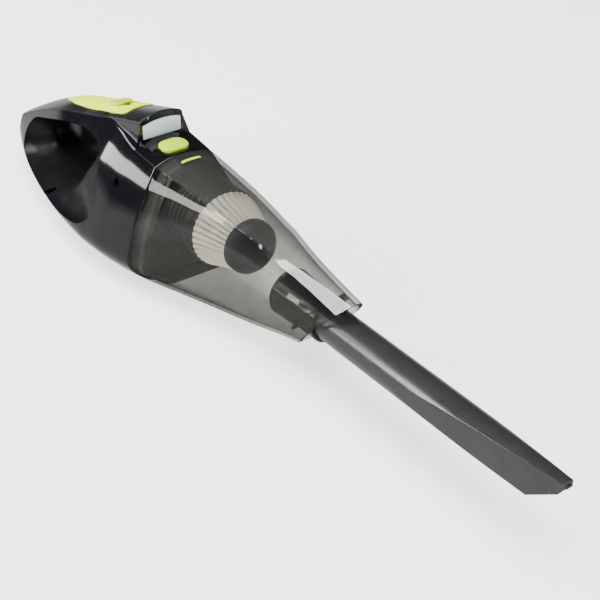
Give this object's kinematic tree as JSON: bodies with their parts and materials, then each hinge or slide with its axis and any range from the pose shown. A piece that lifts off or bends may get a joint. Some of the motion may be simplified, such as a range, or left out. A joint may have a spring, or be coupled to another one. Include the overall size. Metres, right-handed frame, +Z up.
{
  "type": "handheld vacuum",
  "caption": "Cordless handheld vacuum: black teardrop body with a finger-hole handle and lamp, clear smoked dust bin with pleated filter, and a removable crevice tool.",
  "frame": {"origin": "middle of the base plate's lower face, which the vacuum rests on", "axes": "+X forward to the nozzle, +Y to the vacuum's left, +Z up"},
  "size_m": [0.5736, 0.1018, 0.1072],
  "materials": {
    "shell": "piano-black moulded ABS",
    "cover": "black moulded ABS with a satin sheen",
    "lime": "lime soft-touch plastic",
    "lens": "frosted translucent lamp lens",
    "reflector": "metallised reflector",
    "board": "solder-masked circuit board",
    "led": "yellow phosphor",
    "steel": "bright steel",
    "inner_black": "black moulded plastic, fine satin",
    "rubber": "black sealing rubber",
    "magnet": "ferrite",
    "bronze": "sintered bronze and copper",
    "carbon": "carbon",
    "lamination": "stacked laminations",
    "cell_wrap": "shrink-wrapped cell",
    "white_plastic": "white moulded plastic",
    "bin_clear": "smoked clear polycarbonate",
    "duct": "black gloss plastic",
    "tool": "charcoal satin plastic",
    "pleats": "pleated filter paper"
  },
  "bodies": {
    "root": {"housing_right": "shell", "housing_left": "shell", "handle_cover": "cover", "grip_pad": "lime", "lamp_lens": "lens", "lamp_reflector": "reflector", "led_board": "board", "led_chips": "led", "deck_cover": "cover", "latch_pin": "steel", "latch_spring": "steel", "front_bulkhead": "inner_black", "bin_seal": "rubber", "fan_housing": "inner_black", "motor_mount": "inner_black", "motor_can": "steel", "motor_end_cap": "inner_black", "motor_magnets": "magnet", "motor_bushes": "bronze", "motor_brushes": "carbon", "battery_cells": "cell_wrap", "battery_tray": "inner_black", "cell_straps": "steel", "control_board": "board", "charging_socket": "inner_black", "switch_body": "inner_black", "base_plate": "inner_black", "housing_screws": "steel", "base_screws": "steel"},
    "rotor": {"motor_shaft": "steel", "rotor_core": "lamination", "rotor_windings": "bronze", "commutator": "bronze", "impeller": "white_plastic"},
    "power": {"switch_knob": "lime"},
    "release": {"release_button": "lime"},
    "latch": {"latch_lever": "inner_black"},
    "bin": {"dust_bin": "bin_clear", "bin_mark": "lime", "inlet_duct": "duct"},
    "tool": {"crevice_tool": "tool"},
    "filter": {"filter_base": "inner_black", "filter_pleats": "pleats", "filter_cap": "inner_black"}
  },
  "joints": [
    {"name": "fan_spin", "type": "hinge", "parent": "root", "child": "rotor", "pos_m": [0, 0, 0.055], "axis": [1, 0, 0], "continuous": true},
    {"name": "power_slide", "type": "slide", "parent": "root", "child": "power", "axis": [0.9563, 0, 0.2924], "range_m": [0, 0.005]},
    {"name": "release_press", "type": "slide", "parent": "root", "child": "release", "axis": [0, 0, -1], "range_m": [0, 0.0012], "stiffness_N_per_m": 400, "springref_m": -0.001},
    {"name": "latch_tilt", "type": "hinge", "parent": "root", "child": "latch", "pos_m": [0.05, 0, 0.0784], "axis": [0, 1, 0], "range_deg": [0, 12], "deforming": ["latch_spring"]},
    {"name": "bin_slide", "type": "slide", "parent": "root", "child": "bin", "axis": [1, 0, 0], "range_m": [0, 0.095]},
    {"name": "tool_slide", "type": "slide", "parent": "bin", "child": "tool", "axis": [1, 0, 0], "range_m": [0, 0.036]},
    {"name": "filter_turn", "type": "hinge", "parent": "root", "child": "filter", "pos_m": [0, 0, 0.055], "axis": [1, 0, 0], "range_deg": [0, 30]}
  ],
  "couplings": [
    {"joint": "latch_tilt", "follows": "release_press", "rad_per_m": 167}
  ]
}
